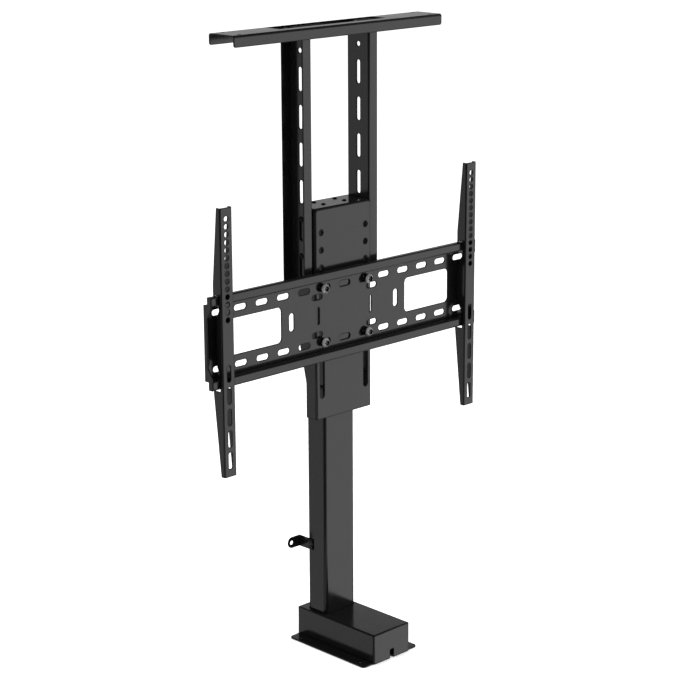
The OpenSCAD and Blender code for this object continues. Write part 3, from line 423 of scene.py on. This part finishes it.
# Above head height only what the tops mirror is bright
UPPER_STOPS = [
    (0.0, 0.20), (0.06, 0.42), (0.127, 0.44), (0.20, 0.40), (0.30, 0.08), (0.70, 0.08),
    (0.87, 0.28), (1.0, 0.20),
]
GROUND_STOPS = [(0.0, GROUND_LEVEL), (1.0, GROUND_LEVEL)]
SKY_STOPS = [(0.0, SKY_LEVEL), (1.0, SKY_LEVEL)]

wall = ring_mesh("card_wall", [(FAR, GROUND_Z), (FAR, HEAD_Z)])
emission_card("card_wall", wall, WALL_STOPS)
upper = ring_mesh("card_upper", [(FAR, HEAD_Z), (FAR, SKY_Z)])
emission_card("card_upper", upper, UPPER_STOPS)
ground = ring_mesh("card_ground", [(CENTRE, GROUND_Z), (FAR, GROUND_Z)])
emission_card("card_ground", ground, GROUND_STOPS)
sky = ring_mesh("card_sky", SKY_PROFILE)
emission_card("card_sky", sky, SKY_STOPS)

world = bpy.data.worlds.new("studio")
world.use_nodes = True
scene.world = world
t = Tree(world.node_tree)
world_out = t.add("ShaderNodeOutputWorld")
# White behind the object where it is seen directly, softer where it only lights
seen = t.seen_directly()
backdrop = t.add("ShaderNodeBackground")
backdrop.inputs["Color"].default_value = (1, 1, 1, 1)
backdrop.inputs["Strength"].default_value = 1.0
ambient = t.add("ShaderNodeBackground")
ambient.inputs["Color"].default_value = (1, 1, 1, 1)
ambient.inputs["Strength"].default_value = AMBIENT
blend = t.add("ShaderNodeMixShader")
t.join(seen, blend.inputs[0])
t.join(ambient.outputs[0], blend.inputs[1])
t.join(backdrop.outputs[0], blend.inputs[2])
t.join(blend.outputs[0], world_out.inputs["Surface"])


def make_floor():
    """Pale floor that shows white to the camera and keeps the object's soft shadow, with a painted
    contact shadow in its glow.
    """
    mesh = bpy.data.meshes.new("floor")
    corners = [(-1, -1), (1, -1), (1, 1), (-1, 1)]
    verts = [(x * FLOOR_HALF, y * FLOOR_HALF, FLOOR_Z) for x, y in corners]
    mesh.from_pydata(verts, [], [(0, 1, 2, 3)])
    material = bpy.data.materials.new("floor_pale")
    material.use_nodes = True
    f = Tree(material.node_tree)
    out = f.add("ShaderNodeOutputMaterial")
    matt = f.add("ShaderNodeBsdfDiffuse")
    matt.inputs["Color"].default_value = FLOOR_GREY
    # Painted shadow: ambient occlusion dims the glow near the object
    open_sky = f.add("ShaderNodeAmbientOcclusion")
    open_sky.inputs["Distance"].default_value = SHADOW_REACH
    glow = f.add("ShaderNodeEmission")
    f.join(f.math("MULTIPLY", open_sky.outputs["AO"], FLOOR_GLOW), glow.inputs["Strength"])
    shown = f.seen_directly()
    off = f.add("ShaderNodeEmission")
    off.inputs["Strength"].default_value = 0.0
    pick = f.add("ShaderNodeMixShader")
    f.join(shown, pick.inputs[0])
    f.join(off.outputs[0], pick.inputs[1])
    f.join(glow.outputs[0], pick.inputs[2])
    both = f.add("ShaderNodeAddShader")
    f.join(matt.outputs[0], both.inputs[0])
    f.join(pick.outputs[0], both.inputs[1])
    f.join(both.outputs[0], out.inputs["Surface"])
    mesh.materials.append(material)
    floor = bpy.data.objects.new("floor", mesh)
    floor.visible_glossy = False
    scene.collection.objects.link(floor)


make_floor()


def softbox(name, at, target, size, power):
    """Soft rectangular lamp that lights but isn't mirrored; size in metres, power in watts."""
    data = bpy.data.lights.new(name, "AREA")
    data.shape = "RECTANGLE"
    data.size, data.size_y = size
    data.energy = power
    lamp = bpy.data.objects.new(name, data)
    lamp.location = at
    lamp.rotation_mode = "QUATERNION"
    lamp.rotation_quaternion = (Vector(at) - Vector(target)).to_track_quat("Z", "Y")
    lamp.visible_glossy = False
    scene.collection.objects.link(lamp)


softbox("key", (2.6, -3.6, 2.6), (0, 0, 0.6), (2.4, 2.4), 95)
softbox("top", (0.3, 0.6, 4.2), (0, 0, 0.5), (2.6, 2.6), 60)
softbox("fill", (-3.6, -1.2, 1.8), (0, 0, 0.6), (2.0, 2.0), 18)

scene.view_settings.view_transform = "Standard"
